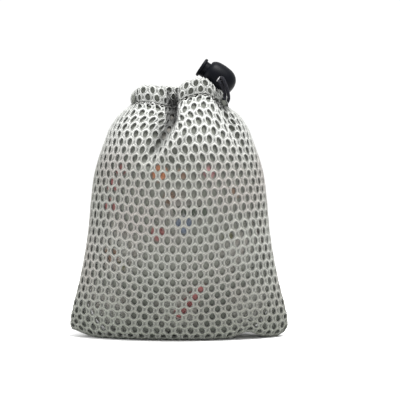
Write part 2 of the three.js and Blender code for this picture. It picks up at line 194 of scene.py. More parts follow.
# Creases in the gathered shoulders: path as [x, height], depth at each path point, half width, steepness
PLEATS = {
    "front": [
        ([[-4.5, 190], [-4.8, 165], [-5.2, 156], [-7.5, 149], [-14, 138], [-24, 125]],
         [20, 21, 18, 9, 4.5, 0], 4.0, 4),
        ([[-10, 176], [-12, 158], [-15, 147], [-19, 135], [-25, 122]], [0, 6, 8, 5.5, 0], 6.0, 2),
        ([[4, 170], [5, 158], [2, 146], [-7, 134], [-17, 120]], [0, -1.6, -3, -2.6, 0], 5.0, 2),
        ([[24, 190], [29, 172], [33.5, 160], [40, 147], [45.5, 137], [51, 124]],
         [4, 7, 6, 4.5, 2.5, 0], 2.8, 2),
        ([[36, 172], [40, 160], [47, 147]], [-1, -1.4, 0], 3.5, 2),
        ([[9, 190], [10, 168], [12, 150]], [1.0, 1.2, 0], 3.2, 2),
        ([[-21, 190], [-24, 165], [-31, 145]], [1.0, 1.4, 0], 3.6, 2),
    ],
    "back": [
        ([[10, 190], [9, 165], [5, 150], [-3, 132]], [10, 11, 5.5, 0], 3.8, 4),
        ([[-16, 190], [-18, 166], [-26, 150], [-36, 130]], [7, 8, 4.5, 0], 3.6, 3),
        ([[27, 190], [29, 166], [38, 148], [46, 132]], [3, 3.5, 2.5, 0], 3.4, 2),
        ([[-4, 166], [-8, 152], [-16, 136]], [-1.5, -1.6, 0], 5, 2),
    ],
}

# Sewing
STITCH_LENGTH = 2.6
STITCH_GAP = 1.3
THREAD_DIAMETER = 0.55
SEAM_DIAMETER = 1.4
SEAM_INSET = 1.3             # of the overlocked edge from the bag's outline


# ------------------------ helpers: numbers
def smoothstep(low, high, value):
    t = np.clip((value - low) / (high - low), 0, 1)
    return t * t * (3 - 2 * t)


def bell(x, centre, width):
    return np.exp(-(((x - centre) / width) ** 2))


def unit(vectors):
    return vectors / np.maximum(np.linalg.norm(vectors, axis=-1, keepdims=True), 1e-9)


def lookup(table, values):
    """Value of a smooth table [input, output] at each input."""
    knots, outputs = np.array(table, float).T
    slopes = np.gradient(outputs, knots)
    x = np.clip(values, knots[0], knots[-1])
    i = np.clip(np.searchsorted(knots, x) - 1, 0, len(knots) - 2)
    h = knots[i + 1] - knots[i]
    t = (x - knots[i]) / h
    return ((2 * t**3 - 3 * t**2 + 1) * outputs[i] + (t**3 - 2 * t**2 + t) * h * slopes[i]
            + (3 * t**2 - 2 * t**3) * outputs[i + 1] + (t**3 - t**2) * h * slopes[i + 1])


def step_lengths(path):
    return np.linalg.norm(np.diff(path, axis=0), axis=1)


def distance_along(path):
    """Distance from the path's start to each of its points."""
    return np.concatenate([[0], np.cumsum(step_lengths(path))])


def spaced(points, count):
    """count points at equal distances along a polyline."""
    points = np.asarray(points, float)
    along = distance_along(points)
    where = np.linspace(0, along[-1], count)
    return np.stack([np.interp(where, along, points[:, k]) for k in range(points.shape[1])], axis=1)


def curve_through(points, count):
    """Centripetal Catmull-Rom curve through the points, as count points at equal distances."""
    p = np.asarray(points, float)
    p = np.vstack([2 * p[0] - p[1], p, 2 * p[-1] - p[-2]])
    dense = []
    for a, b, c, d in zip(p, p[1:], p[2:], p[3:]):
        t0 = 0.0
        t1 = t0 + np.linalg.norm(b - a) ** 0.5
        t2 = t1 + np.linalg.norm(c - b) ** 0.5
        t3 = t2 + np.linalg.norm(d - c) ** 0.5
        t = np.linspace(t1, t2, 24, endpoint=False)[:, None]
        ab = (t1 - t) / (t1 - t0) * a + (t - t0) / (t1 - t0) * b
        bc = (t2 - t) / (t2 - t1) * b + (t - t1) / (t2 - t1) * c
        cd = (t3 - t) / (t3 - t2) * c + (t - t2) / (t3 - t2) * d
        abc = (t2 - t) / (t2 - t0) * ab + (t - t0) / (t2 - t0) * bc
        bcd = (t3 - t) / (t3 - t1) * bc + (t - t1) / (t3 - t1) * cd
        dense.append((t2 - t) / (t2 - t1) * abc + (t - t1) / (t2 - t1) * bcd)
    return spaced(np.vstack([*dense, p[-2:-1]]), count)


def smoothed_path(path, passes):
    """A path whose inner points have moved towards their neighbours' middle, passes times."""
    path = path.copy()
    for _ in range(passes):
        path[1:-1] = (path[:-2] + 2 * path[1:-1] + path[2:]) / 4
    return path


def length_of(points):
    return float(step_lengths(points).sum())


# ------------------------ helpers: objects
def mesh_object(name, points, faces, material, values=None):
    """Object from points in mm. values holds one number or vector for each point, by attribute name."""
    mesh = bpy.data.meshes.new(name)
    mesh.from_pydata((np.asarray(points, float) * MM).tolist(), [], faces)
    mesh.update()
    for key, value in (values or {}).items():
        value = np.asarray(value, np.float32)
        kind, field = ("FLOAT_VECTOR", "vector") if value.ndim == 2 else ("FLOAT", "value")
        mesh.attributes.new(key, kind, "POINT").data.foreach_set(field, value.ravel())
    mesh.shade_smooth()
    mesh.materials.append(material)
    obj = bpy.data.objects.new(name, mesh)
    bpy.context.scene.collection.objects.link(obj)
    return obj


def turn_outwards(obj):
    work = bmesh.new()
    work.from_mesh(obj.data)
    bmesh.ops.recalc_face_normals(work, faces=work.faces)
    work.to_mesh(obj.data)
    work.free()
    return obj


def grid_faces(rows, columns, closed_rows=False, closed_columns=False):
    """Quads over a grid of points stored row by row."""
    faces = []
    for j in range(rows if closed_rows else rows - 1):
        for i in range(columns if closed_columns else columns - 1):
            k, n = (i + 1) % columns, (j + 1) % rows
            faces.append((j * columns + i, j * columns + k, n * columns + k, n * columns + i))
    return faces


# ------------------------ helpers: materials
def new_material(name, colour, roughness, **settings):
    """Principled material. settings go on the shader's own sockets."""
    material = bpy.data.materials.new(name)
    material.use_nodes = True
    shader = material.node_tree.nodes["Principled BSDF"]
    shader.inputs["Base Color"].default_value = (*colour, 1)
    shader.inputs["Roughness"].default_value = roughness
    for key, value in settings.items():
        shader.inputs[key.replace("_", " ")].default_value = value
    return material, material.node_tree, shader


def node(tree, kind, inputs=(), **settings):
    made = tree.nodes.new(kind)
    for key, value in settings.items():
        setattr(made, key, value)
    for key, value in dict(inputs).items():
        if isinstance(value, bpy.types.NodeSocket):
            tree.links.new(value, made.inputs[key])
        else:
            made.inputs[key].default_value = value
    return made


def attribute(tree, name):
    return node(tree, "ShaderNodeAttribute", attribute_name=name)


def object_place(tree):
    """Place of a point on its own object, in metres."""
    return node(tree, "ShaderNodeTexCoord").outputs["Object"]


def noise(tree, place, scale, detail=2.0):
    return node(tree, "ShaderNodeTexNoise", {"Vector": place, "Scale": scale, "Detail": detail}).outputs["Fac"]


def maths(tree, operation, *values):
    return node(tree, "ShaderNodeMath", dict(enumerate(values)), operation=operation).outputs[0]


def mixed(tree, factor, first, second):
    """Colour between two colours or sockets."""
    made = tree.nodes.new("ShaderNodeMix")
    made.data_type = "RGBA"
    for socket, value in ((made.inputs[0], factor), (made.inputs[6], first), (made.inputs[7], second)):
        if isinstance(value, bpy.types.NodeSocket):
            tree.links.new(value, socket)
        else:
            socket.default_value = (*value, 1) if isinstance(value, tuple) else value
    return made.outputs[2]


def spread(tree, value, low, high, to_low=0.0, to_high=1.0):
    inputs = {"Value": value, "From Min": low, "From Max": high, "To Min": to_low, "To Max": to_high}
    return node(tree, "ShaderNodeMapRange", inputs, interpolation_type="SMOOTHSTEP").outputs["Result"]


def bump(tree, shader, height, distance, strength=1.0):
    made = node(tree, "ShaderNodeBump", {"Height": height, "Distance": distance, "Strength": strength})
    tree.links.new(made.outputs["Normal"], shader.inputs["Normal"])


def yarn_material():
    """White polyester yarn of the mesh: knitted rims round the holes, with painted shade in the grooves
    between them.
    """
    material, tree, shader = new_material(
        "mesh_yarn", (0.66, 0.67, 0.62), 0.62, Sheen_Weight=0.5, Sheen_Roughness=0.4, Specular_IOR_Level=0.35)
    relief = attribute(tree, "relief").outputs["Fac"]
    cloth = attribute(tree, "cloth").outputs["Vector"]
    place = object_place(tree)
    tint = noise(tree, place, 22.0)
    fine = noise(tree, cloth, 1.6, detail=3.0)
    knit = {"Vector": cloth, "Scale": 0.42, "Distortion": 2.5, "Detail": 2.0, "Detail Scale": 1.5}
    stitch = node(tree, "ShaderNodeTexWave", knit, bands_direction="DIAGONAL").outputs["Fac"]
    height_above = node(tree, "ShaderNodeSeparateXYZ", {"Vector": place}).outputs["Z"]
    base = mixed(tree, spread(tree, tint, 0.35, 0.65), (0.385, 0.39, 0.35), (0.415, 0.385, 0.355))
    # painted light: the yarn turns lighter above about 115 to 155 mm, as if lit from above
    painted_height_shading = mixed(tree, spread(tree, height_above, 0.115, 0.155), base, (0.70, 0.71, 0.68))
    # painted shade: the yarn turns darker towards the floor, below about 65 mm
    painted_floor_shade = mixed(tree, spread(tree, height_above, -0.01, 0.065), (0.22, 0.235, 0.19), painted_height_shading)
    # painted shade in the creases: the deeper the fold, the darker the yarn
    folded = attribute(tree, "folded").outputs["Fac"]
    painted_crease_shade = mixed(tree, folded, painted_floor_shade, (0.06, 0.06, 0.056))
    # painted shade: where the relief is low, in the holes' walls and the upright grooves, the yarn goes
    # towards this shadow colour
    shadow = (0.06, 0.063, 0.058)
    groove = mixed(tree, maths(tree, "POWER", relief, 1.3), shadow, painted_crease_shade)
    dotted = mixed(tree, spread(tree, fine, 0.48, 0.6, 0.0, 0.6), groove, shadow)
    knitted = mixed(tree, spread(tree, relief, 0.55, 0.8), dotted, groove)
    tree.links.new(knitted, shader.inputs["Base Color"])
    height = maths(tree, "ADD", maths(tree, "MULTIPLY", stitch, 0.6), fine)
    bump(tree, shader, height, 0.00035, 0.7)
    return material


def backing_material():
    """Fine back face of the spacer mesh. Stretched over a ball it opens up, and the ball shows through. Where
    no ball is behind it, its colour is painted shade of the bag's inside.
    """
    material, tree, shader = new_material("mesh_backing", (0.2, 0.2, 0.18), 0.8)
    place = object_place(tree)
    tint = noise(tree, place, 45.0)
    net = node(tree, "ShaderNodeTexVoronoi", {"Vector": place, "Scale": 900.0}).outputs["Distance"]
    slack = attribute(tree, "slack").outputs["Fac"]
    height_above = node(tree, "ShaderNodeSeparateXYZ", {"Vector": place}).outputs["Z"]
    # painted shade: where no ball is behind, the sheet is darker above about 105 to 135 mm
    painted_height_shading = mixed(tree, spread(tree, height_above, 0.105, 0.135), (0.18, 0.185, 0.16), (0.11, 0.115, 0.1))
    # painted shade: and darker still towards the floor, below about 60 mm
    painted_floor_shade = mixed(tree, spread(tree, height_above, 0.018, 0.06), (0.025, 0.03, 0.022), painted_height_shading)
    over_ball = mixed(tree, spread(tree, tint, 0.35, 0.65), (0.29, 0.30, 0.26), (0.32, 0.28, 0.255))
    # painted shade: the lighter tone over a ball turns darker below about 40 mm
    tight = mixed(tree, spread(tree, height_above, 0.01, 0.04), (0.09, 0.09, 0.075), over_ball)
    # painted shade of the bag's inside where no ball is behind the sheet; over a ball the lighter tone stands
    # in for the ball seen through
    plain = mixed(tree, slack, tight, painted_floor_shade)
    shows = maths(tree, "MULTIPLY", attribute(tree, "shows").outputs["Fac"], 0.8)
    base = mixed(tree, shows, plain, attribute(tree, "ink").outputs["Vector"])
    tree.links.new(mixed(tree, spread(tree, net, 0.1, 0.5, 0.0, 0.5), base, (0.08, 0.085, 0.07)),
                   shader.inputs["Base Color"])
    tree.links.new(spread(tree, slack, 0.0, 1.0, 0.5, 0.96), shader.inputs["Alpha"])
    bump(tree, shader, net, 0.0003, 0.5)
    return material


def thread_material(name, colour):
    material, tree, shader = new_material(name, colour, 0.55, Sheen_Weight=0.3)
    place = object_place(tree)
    twist = node(tree, "ShaderNodeTexWave", {"Vector": place, "Scale": 900.0, "Distortion": 1.0},
                 bands_direction="DIAGONAL").outputs["Fac"]
    dark = tuple(0.6 * c for c in colour)
    tree.links.new(mixed(tree, twist, dark, colour), shader.inputs["Base Color"])
    bump(tree, shader, twist, 0.0002, 0.6)
    return material


def cord_material():
    """Black braided cord. The braid is in the mesh, and the fibres in the material."""
    material, tree, shader = new_material("cord_braid", (0.008, 0.008, 0.01), 0.9, Sheen_Weight=0.03,
                                          Specular_IOR_Level=0.05)
    relief = attribute(tree, "relief").outputs["Fac"]
    place = object_place(tree)
    fibre = noise(tree, place, 4000.0)
    # painted shade: the braid is darker in the hollows between its strands
    base = mixed(tree, relief, (0.003, 0.003, 0.004), (0.016, 0.016, 0.02))
    tree.links.new(mixed(tree, spread(tree, fibre, 0.5, 0.8, 0.0, 0.5), base, (0.022, 0.022, 0.026)),
                   shader.inputs["Base Color"])
    bump(tree, shader, fibre, 0.0001, 0.6)
    return material


def lock_material():
    """Moulded black plastic with a satin spark-eroded grain, rubbed greyer on its edges."""
    material, tree, shader = new_material(
        "lock_plastic", (0.005, 0.006, 0.009), 0.38, Specular_IOR_Level=0.06)
    place = object_place(tree)
    grain = noise(tree, place, 2600.0)
    cloud = noise(tree, place, 160.0, detail=3.0)
    edge = node(tree, "ShaderNodeNewGeometry").outputs["Pointiness"]
    worn = spread(tree, edge, 0.52, 0.62)
    base = mixed(tree, worn, (0.002, 0.0025, 0.004), (0.012, 0.013, 0.016))
    tree.links.new(base, shader.inputs["Base Color"])
    tree.links.new(spread(tree, cloud, 0.3, 0.7, 0.36, 0.50), shader.inputs["Roughness"])
    bump(tree, shader, grain, 0.00008, 0.5)
    return material


def steel_material():
    material, tree, shader = new_material("spring_steel", (0.55, 0.56, 0.58), 0.28, Metallic=1.0)
    place = object_place(tree)
    drawn = noise(tree, place, 1500.0)
    tree.links.new(spread(tree, drawn, 0.3, 0.7, 0.2, 0.42), shader.inputs["Roughness"])
    bump(tree, shader, drawn, 0.00005, 0.4)
    return material


def ball_material(name, marks):
    """White cover with printed marks: [[x, z] from the ball's middle, radius, colour], on its front."""
    material, tree, shader = new_material(
        name, (0.72, 0.72, 0.68), 0.3, Coat_Weight=0.5, Coat_Roughness=0.12)
    place = object_place(tree)
    scuff = noise(tree, place, 180.0, detail=4.0)
    colour = mixed(tree, spread(tree, scuff, 0.5, 0.75), (0.72, 0.72, 0.68), (0.5, 0.47, 0.40))
    for (x, z), radius, ink in marks:
        y = -math.sqrt(max(0.0, BALL_RADIUS**2 - x * x - z * z))
        middle = tuple(MM * value for value in (x, y, z))
        gap = node(tree, "ShaderNodeVectorMath", {0: place, 1: middle}, operation="DISTANCE").outputs["Value"]
        inside = spread(tree, gap, radius * MM, (radius - 0.6) * MM)
        colour = mixed(tree, inside, colour, ink)
    tree.links.new(colour, shader.inputs["Base Color"])
    tree.links.new(spread(tree, scuff, 0.4, 0.8, 0.25, 0.5), shader.inputs["Roughness"])
    bump(tree, shader, scuff, 0.00005, 0.3)
    return material


YARN = yarn_material()
BACKING = backing_material()
THREAD = thread_material("stitch_thread", (0.42, 0.42, 0.39))
BINDING = thread_material("seam_overlock", (0.36, 0.365, 0.34))
CORD = cord_material()
LOCK = lock_material()
STEEL = steel_material()


# ------------------------ camera
def place_camera():
    target = Vector((15.1, 0, 98.6)) * MM
    distance = 1.1
    width = 0.288
    data = bpy.data.cameras.new("camera")
    data.sensor_width = 36
    data.lens = data.sensor_width * distance / width
    data.clip_start = 0.05
    camera = bpy.data.objects.new("camera", data)
    elevation = math.radians(3)
    camera.location = target + distance * Vector((0, -math.cos(elevation), math.sin(elevation)))
    camera.rotation_euler = (target - camera.location).to_track_quat("-Z", "Y").to_euler()
    bpy.context.scene.collection.objects.link(camera)
    bpy.context.scene.camera = camera


place_camera()


# ------------------------ cords
def strand_point(strand, y):
    """Middle of one strand in the lock's hole."""
    offset = STRAND_OFFSET if strand == "front" else -STRAND_OFFSET
    tilt = math.radians(LOCK_TILT)
    return [LOCK_CENTRE[0] - math.sin(tilt) * offset, y, LOCK_CENTRE[2] - math.cos(tilt) * offset]


def frames_along(path):
    """Tangent and two normals at each point of a path, without twist."""
    tangents = unit(np.gradient(path, axis=0))
    normal = unit(np.cross(tangents[0], [0.3, 0.2, 0.9]))
    normals = []
    for tangent in tangents:
        normal = unit(normal - tangent * (normal @ tangent))
        normals.append(normal)
    normals = np.array(normals)
    return tangents, normals, np.cross(tangents, normals)


def circles(angle, across, up):
    """Directions from a path's points to a tube's surface, at each angle round each point."""
    return np.cos(angle)[None, :, None] * across[:, None] + np.sin(angle)[None, :, None] * up[:, None]


def tube_faces(rows, sides, first=0):
    """Wall and two flat ends of a tube whose points are stored ring by ring, from point number first."""
    wall = [tuple(first + k for k in face) for face in grid_faces(rows, sides, closed_columns=True)]
    start = tuple(range(first + sides - 1, first - 1, -1))
    end = tuple(range(first + (rows - 1) * sides, first + rows * sides))
    return [*wall, start, end]


def braided(name, path, diameter=CORD_DIAMETER, sides=CORD_SIDES, strands=4, lay=5.0):
    """Tube whose surface is a braid of crossing strands, with round ends."""
    tangents, across, up = frames_along(path)
    along = distance_along(path)
    angle = np.linspace(0, 2 * math.pi, sides, endpoint=False)
    turn = math.pi * strands * along[:, None] / lay
    wave = np.maximum(np.sin(strands * angle + turn), np.sin(strands * angle - turn))
    relief = 0.5 + 0.5 * wave
    radius = diameter / 2 * (0.93 + 0.07 * relief)
    end = np.minimum(along, along[-1] - along)[:, None]
    radius = radius * np.sqrt(np.clip(end / 0.8 + 0.25, 0, 1))
    points = path[:, None] + radius[..., None] * circles(angle, across, up)
    faces = tube_faces(len(path), sides)
    obj = mesh_object(name, points.reshape(-1, 3), faces, CORD, {"relief": relief.ravel()})
    return turn_outwards(obj)


def make_cords():
    """Leads from the hem to the lock, tails from it down the back, and the knot that joins the tails."""
    turn = np.linspace(0, 2 * math.pi, 70)
    loop = np.stack([np.sin(turn) + 2 * np.sin(2 * turn), np.cos(turn) - 2 * np.cos(2 * turn),
                     -1.1 * np.sin(3 * turn)], axis=1)
    knot_path = KNOT_CENTRE + loop[:, [0, 2, 1]] * KNOT_SCALE
    knot = braided("end_knot_tied", knot_path, diameter=KNOT_CORD_DIAMETER)
    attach(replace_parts(knot, "end_knot"), "bag")
    for strand in ("front", "back"):
        entry = [strand_point(strand, HOLE_ENTRY - 1.4), strand_point(strand, HOLE_ENTRY)]
        route = curve_through([*LEAD_ROUTES[strand], *entry], 70)
        lead = braided(f"lead_{strand}_braid", route)
        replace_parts(lead, f"lead_{strand}")
        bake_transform(lead)
        inside = [strand_point(strand, y) for y in (HOLE_ENTRY + 0.3, LOCK_CENTRE[1], HOLE_EXIT)]
        path = curve_through([*inside, *TAIL_ROUTES[strand]], 300)
        tail = braided(f"tail_{strand}_braid", path)
        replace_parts(tail, f"tail_{strand}")
        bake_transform(tail)


make_cords()


# ------------------------ the cloth's surface
def panel_profile():
    """Depth and height of a panel's middle line, at equal steps of cloth."""
    points = curve_through([[depth, 0, height] for depth, height in PANEL_PROFILE], 4 * SURFACE_ROWS)
    share = lookup(ROW_SPREAD, np.linspace(0, 1, SURFACE_ROWS))
    where = np.linspace(0, 1, len(points))
    return np.interp(share, where, points[:, 0]), np.interp(share, where, points[:, 2])


def bottom_edge(x):
    """Height of the bottom edge: both corners stand off the floor, the right one behind a dimple."""
    left = 5.5 * smoothstep(-58, -80, x)
    right = 4.6 * bell(x, 49, 8.5) + 5.5 * smoothstep(73, 80, x)
    return left + right


def crease_depth(side, x, z):
    """How far the gathers pull the cloth in, at a point seen from the front."""
    total = np.zeros_like(x)
    for path, depths, width, steepness in PLEATS[side]:
        heights = [-point[1] for point in path]
        middle = np.interp(-z, heights, [point[0] for point in path])
        depth = np.interp(-z, heights, depths)
        total += depth * np.exp(-(np.abs(x - middle) / width) ** steepness)
    return total


def ball_gap(points):
    """Distance from each point to the nearest ball's surface."""
    gaps = [np.linalg.norm(points - np.array(ball), axis=-1) - BALL_RADIUS for ball in BALLS]
    return np.min(gaps, axis=0)


def smoothed(field, passes):
    """A grid of numbers, each averaged with its four neighbours, passes times."""
    for _ in range(passes):
        inner = np.pad(field, 1, mode="edge")
        field = (4 * field + inner[:-2, 1:-1] + inner[2:, 1:-1] + inner[1:-1, :-2] + inner[1:-1, 2:]) / 8
    return field


def shared_out(row, plain):
    """A row's points at equal steps of cloth. The cloth to spare is packed at the side seams."""
    steps = FOLD_SHARE * step_lengths(row[:, :3]) + (1 - FOLD_SHARE) * step_lengths(plain)
    side = smoothstep(0.74, 0.97, np.abs(ACROSS))
    weight = (side[1:] + side[:-1]) / 2 * step_lengths(plain)
    steps += max(0.0, CLOTH_WIDTH - steps.sum()) * weight / weight.sum()
    along = np.concatenate([[0], np.cumsum(steps)])
    where = np.linspace(0, along[-1], SURFACE_COLUMNS)
    return np.stack([np.interp(where, along, row[:, k]) for k in range(row.shape[1])], axis=1)


def panel_surface(side):
    """Outer face of a panel as a grid of points, and how deep the creases are at each of them, as a mask for
    the yarn's painted shade.
    """
    sign = -1 if side == "front" else 1
    depth, height = (line[:, None] * np.ones_like(ACROSS) for line in panel_profile())
    share = lookup(ROW_SPREAD, np.linspace(0, 1, SURFACE_ROWS))[:, None] * np.ones_like(ACROSS)
    outward = smoothstep(0.1, 0.85, np.abs(ACROSS))
    rest = np.maximum(height, 0) + outward * lookup(SIDE_LIFT, height)
    z = rest
    for _ in range(3):
        x = ACROSS * lookup(SIDE_OUTLINE, z)
        low = bottom_edge(x) * (1 - smoothstep(1, 18, height))
        neck = lookup(HEM_BASE[side], x) - rest[-1]
        z = rest + low + neck * smoothstep(0.72, 1, share)
    x = ACROSS * lookup(SIDE_OUTLINE, z)
    roundness = 0.5 + 0.35 * np.exp(-z / 20)             # an ellipse, with thinner sides near the floor
    y = depth * (1 - ACROSS**2) ** roundness
    points = np.stack([x, sign * (y + PANEL_GAP), z], axis=-1)
    gap = smoothed(ball_gap(points), 30)
    edge = 1 - np.abs(ACROSS) ** 8
    sag = SAG_DEPTH * smoothstep(2, 13, gap) * smoothstep(6, 30, z) * (1 - smoothstep(120, 150, z)) * edge
    tuck = TUCK_DEPTH * smoothstep(0.968, 1, share)
    crease = crease_depth(side, x, z) * edge
    inwards = sag + tuck + crease
    plain = points.copy()
    normal = unit(np.cross(np.gradient(points, axis=1), [0, 0, 1.0]))
    normal *= np.sign(normal[..., 1:2] * sign + 1e-9)
    points = points - normal * inwards[..., None]
    past_middle = PLEAT_REACH * bell(x, -5, 7) * smoothstep(140, 160, z) if side == "front" else 0
    points[..., 1] = sign * np.maximum(sign * points[..., 1], PANEL_GAP - past_middle)
    rows = np.concatenate([points, crease[..., None]], axis=-1)
    grid = np.stack([shared_out(row, plain_row) for row, plain_row in zip(rows, plain)])
    # the second grid is the crease mask that sets the painted shade in the folds
    return grid[..., :3], smoothstep(3, 13, grid[..., 3:])


def hem_surface(side, top_row):
    """The folded hem above a panel's top row, as a grid of points round the sleeve and along it."""
    sign = -1 if side == "front" else 1
    along = unit(np.gradient(top_row, axis=0) * [1, 1, 0])
    outward = np.cross(along, [0, 0, 1.0])
    outward *= np.sign(outward[:, 1:2] * sign + 1e-9)
    outward = unit(outward + [0, 0.8 * sign, 0])
    low = lookup(HEM_BASE[side], top_row[:, 0])
    high = lookup(HEM_TOP[side], top_row[:, 0])
    half_height = (high - low) / 2
    centre = top_row - outward * (HEM_DEPTH / 2 - 0.4)
    centre[:, 2] = low + half_height
    closing = 1 - HEM_CLOSING * smoothstep(0.93, 1, np.abs(np.linspace(-1, 1, len(top_row))))
    angle = np.linspace(-math.pi / 2, 1.5 * math.pi, HEM_STEPS)
    lean = np.sign(np.cos(angle)) * np.abs(np.cos(angle)) ** 0.8
    reach = outward * HEM_DEPTH / 2 * closing[:, None]
    rise = np.outer(half_height * closing, [0, 0, 1.0])
    grid = np.stack([centre + reach * c + rise * s for c, s in zip(lean, np.sin(angle))])
    rounds = [spaced(grid[:, i], HEM_STEPS) for i in range(grid.shape[1])]
    return np.stack(rounds, axis=1)


def face_out(surface, middle):
    """Normals of a grid of points, pointing away from a middle point for each column or for all."""
    normal = unit(np.cross(np.gradient(surface, axis=1), np.gradient(surface, axis=0)))
    flip = np.sign(np.sum(normal * (surface - middle), axis=-1, keepdims=True))
    return normal * np.where(np.median(flip) < 0, -1.0, 1.0)


def sample(grid, u, v):
    """Values of a grid at shares u along its columns and v along its rows."""
    rows, columns = grid.shape[:2]
    x = np.clip(u, 0, 1) * (columns - 1)
    y = np.clip(v, 0, 1) * (rows - 1)
    i = np.minimum(x.astype(int), columns - 2)
    j = np.minimum(y.astype(int), rows - 2)
    fx, fy = (x - i)[:, None], (y - j)[:, None]
    return ((grid[j, i] * (1 - fx) + grid[j, i + 1] * fx) * (1 - fy)
            + (grid[j + 1, i] * (1 - fx) + grid[j + 1, i + 1] * fx) * fy)


# ------------------------ the mesh: holes, rims and grooves
def cell_pattern():
    """Rings of one cell as offsets in mm from its middle, with heights above its underside."""
    corners = np.array([[PITCH / 2, -ROW_PITCH / 3], [PITCH / 2, ROW_PITCH / 3], [0, 2 * ROW_PITCH / 3],
                        [-PITCH / 2, ROW_PITCH / 3], [-PITCH / 2, -ROW_PITCH / 3], [0, -2 * ROW_PITCH / 3]])
    border, groove, shade = [], [], []
    for k in range(6):
        for step in range(EDGE_STEPS):
            t = step / EDGE_STEPS
            border.append(corners[k] * (1 - t) + corners[(k + 1) % 6] * t)
            middle = math.sin(math.pi * t)
            upright = k in (0, 3)
            groove.append(0.95 - 0.4 * middle if upright else 0.95 + 0.55 * middle)
            shade.append(0.12 if upright and step else 1.0)
    border, groove, shade = np.array(border), np.array(groove), np.array(shade)
    angle = np.arctan2(border[:, 1] / HOLE_HEIGHT, border[:, 0] / HOLE_WIDTH)
    pinch = 1 - 0.24 * np.abs(np.sin(angle)) ** 6
    hole = np.stack([HOLE_WIDTH / 2 * np.cos(angle) * pinch, HOLE_HEIGHT / 2 * np.sin(angle)], axis=1)
    under = np.zeros(len(border))
    shares = [1, 0, 0, 0.13, 0.34, 0.6, 0.84, 1]
    heights = [under, under, under + 0.8, under + 1.6, under + THICKNESS, under + 1.45,
               (groove + 1.3) / 2, groove]
    reliefs = [under, under, under + 0.3, under + 0.7, under + 0.6, under + 0.46, 0.28 + 0.4 * shade, shade]
    rings = [hole + (border - hole) * share for share in shares]
    return rings, heights, reliefs


def on_own_side(points):
    """Keeps one panel's points on its side of the bag's middle plane, below the gathers."""
    sign = np.sign(np.median(points[..., 1]))
    held = sign * np.maximum(sign * points[..., 1], 0.1)
    y = np.where(points[..., 2] < FREE_ABOVE, held, points[..., 1])
    return np.concatenate([points[..., :1], y[..., None], points[..., 2:]], axis=-1)


def mesh_net(name, surface, normals, folds, rows, columns, closed=False):
    """Perforated mesh over a surface. A closed one runs round a sleeve."""
    rings, heights, reliefs = cell_pattern()
    count = len(rings[0])
    centres = [(column + (0.5 if row % 2 == 0 else 0.0), row + (0.0 if closed else 0.5))
               for row in range(rows) for column in range(columns + 1)]
    centres = np.array([c for c in centres if c[0] <= columns + 0.01])
    keys, faces, data = [], [], []
    for level, (ring, height, relief) in enumerate(zip(rings, heights, reliefs)):
        place = centres[:, None] + ring[None] / [PITCH, ROW_PITCH]
        layer = np.full(place.shape[:2], level)
        keys.append(np.concatenate([place, layer[..., None]], axis=-1))
        both = [np.broadcast_to(value, place.shape[:2]) for value in (height, relief)]
        data.append(np.stack(both, axis=-1))
    keys, data = np.stack(keys), np.stack(data)          # level, cell, point
    levels, cells = keys.shape[:2]
    if closed:
        keys[..., 1] = np.mod(keys[..., 1] + 1e-7, rows) - 1e-7
    index = np.arange(levels * cells * count).reshape(levels, cells, count)
    following = np.roll(index, -1, axis=2)
    quads = np.stack([index[:-1], following[:-1], following[1:], index[1:]], axis=-1).reshape(-1, 4)
    flat = keys.reshape(-1, 3)
    outside = (flat[:, 0] < -1e-6) | (flat[:, 0] > columns + 1e-6)
    if not closed:
        outside |= (flat[:, 1] < -1e-6) | (flat[:, 1] > rows + 1e-6)
    quads = quads[~outside[quads].all(axis=1)]
    clamped = flat.copy()
    clamped[:, 0] = np.clip(clamped[:, 0], 0, columns)
    if not closed:
        clamped[:, 1] = np.clip(clamped[:, 1], 0, rows)
    whole = np.round(clamped * 2000).astype(int)         # points closer than this are one point
    _, first, inverse = np.unique(whole, axis=0, return_index=True, return_inverse=True)
    quads = inverse.ravel()[quads]
    distinct = np.array([len(set(quad)) == 4 for quad in quads.tolist()])
    place = clamped[first]
    height, relief = data.reshape(-1, 2)[first].T
    u, v = place[:, 0] / columns, place[:, 1] / rows
    points = on_own_side(sample(surface, u, v) + unit(sample(normals, u, v)) * (height - THICKNESS)[:, None])
    cloth = np.stack([place[:, 0] * PITCH, place[:, 1] * ROW_PITCH, height], axis=1)
    # folded carries the crease mask for the painted shade in the folds
    values = {"relief": relief, "cloth": cloth, "folded": sample(folds, u, v)[:, 0]}
    return turn_outwards(mesh_object(name, points, quads[distinct].tolist(), YARN, values))


def prints_behind(points):
    """Strength and ink of the ball prints that show through a net, at each of its points."""
    strength = np.zeros(len(points))
    ink = np.zeros((len(points), 3))
    for number, marks in MARKS.items():
        middle = BALLS[number - 1]
        for (right, up), radius, name in marks:
            away = np.hypot(points[:, 0] - middle[0] - right, points[:, 2] - middle[2] - up)
            near = 1 - smoothstep(radius - 0.8, radius + 0.4, away)
            stronger = near > strength
            strength[stronger] = near[stronger]
            ink[stronger] = INKS[name]
    return strength * (points[:, 1] < 0), ink


def backing_sheet(name, surface, normals, offset):
    step = 2
    points = on_own_side((surface - normals * offset)[::step, ::step])
    rows, columns = points.shape[:2]
    # slack is 1 where no ball lies behind the sheet: it sets how much the sheet hides and where its painted
    # shade goes
    behind = points - normals[::step, ::step] * LOOK_THROUGH
    slack = smoothstep(-5, 4, ball_gap(behind)).ravel()
    points = points.reshape(-1, 3)
    shows, ink = prints_behind(points)
    values = {"slack": slack, "shows": shows, "ink": ink}
    return mesh_object(name, points, grid_faces(rows, columns), BACKING, values)


def bend_with_mouth(obj):
    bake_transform(obj)


